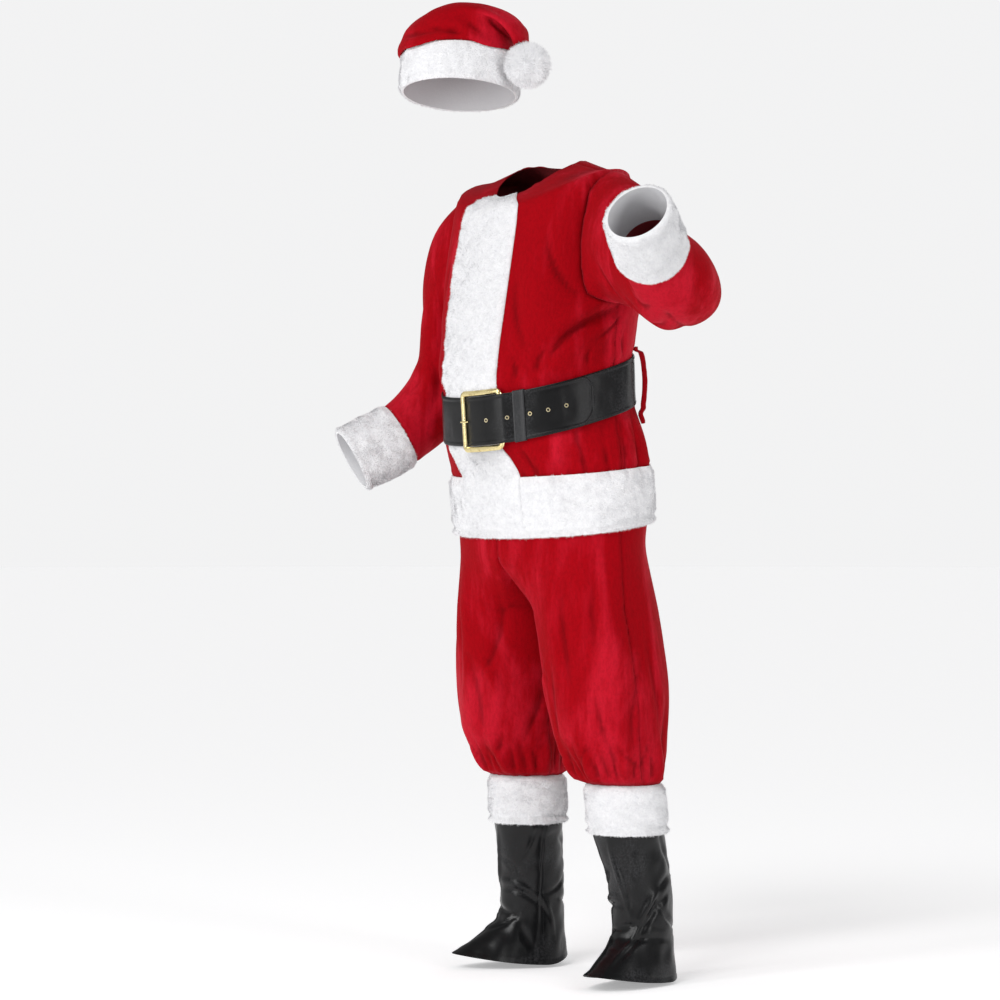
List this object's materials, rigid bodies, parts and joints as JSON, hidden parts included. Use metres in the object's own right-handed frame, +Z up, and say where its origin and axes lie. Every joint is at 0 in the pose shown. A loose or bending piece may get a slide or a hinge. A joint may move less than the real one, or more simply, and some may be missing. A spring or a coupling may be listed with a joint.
{
  "type": "santa suit held by its wearer",
  "caption": "Worn red plush santa suit with white fur trim: jacket, trousers, wide belt with a square buckle, hat and boot covers, in the hollow form of its pose.",
  "frame": {"origin": "middle of the jacket's neck opening, where the wearer's shoulders carry the suit, 1.5 m above the floor they stand on", "axes": "+Z up, the wearer faces -Y and has the left hand at +X"},
  "size_m": [1.0647, 0.459, 1.8259],
  "materials": {
    "red_plush": "matte",
    "white_fur": "matte",
    "black_vinyl": "satin",
    "gold_plate": "polished",
    "eyelet_brass": "satin"
  },
  "bodies": {
    "root": {"jacket_front_left": "red_plush", "jacket_front_right": "red_plush", "jacket_back": "red_plush", "front_fur_band": "white_fur", "hem_fur_left": "white_fur", "hem_fur_right": "white_fur", "hem_fur_back": "white_fur", "sleeve_left": "red_plush", "sleeve_right": "red_plush", "cuff_fur_left": "white_fur", "cuff_fur_right": "white_fur", "trouser_front_left": "red_plush", "trouser_back_left": "red_plush", "trouser_front_right": "red_plush", "trouser_back_right": "red_plush", "trouser_fur_left": "white_fur", "trouser_fur_right": "white_fur", "trouser_waistband": "red_plush", "belt_strap": "black_vinyl", "belt_buckle": "gold_plate", "belt_loop_left": "red_plush", "belt_loop_right": "red_plush", "belt_keeper": "black_vinyl", "hat_brim": "white_fur", "hat_crown": "red_plush", "hat_pompom": "white_fur", "boot_cover_left": "black_vinyl", "boot_cover_right": "black_vinyl", "belt_prong": "gold_plate", "belt_eyelet_1": "eyelet_brass", "belt_eyelet_2": "eyelet_brass", "belt_eyelet_3": "eyelet_brass", "belt_eyelet_4": "eyelet_brass", "belt_eyelet_5": "eyelet_brass"}
  },
  "joints": []
}
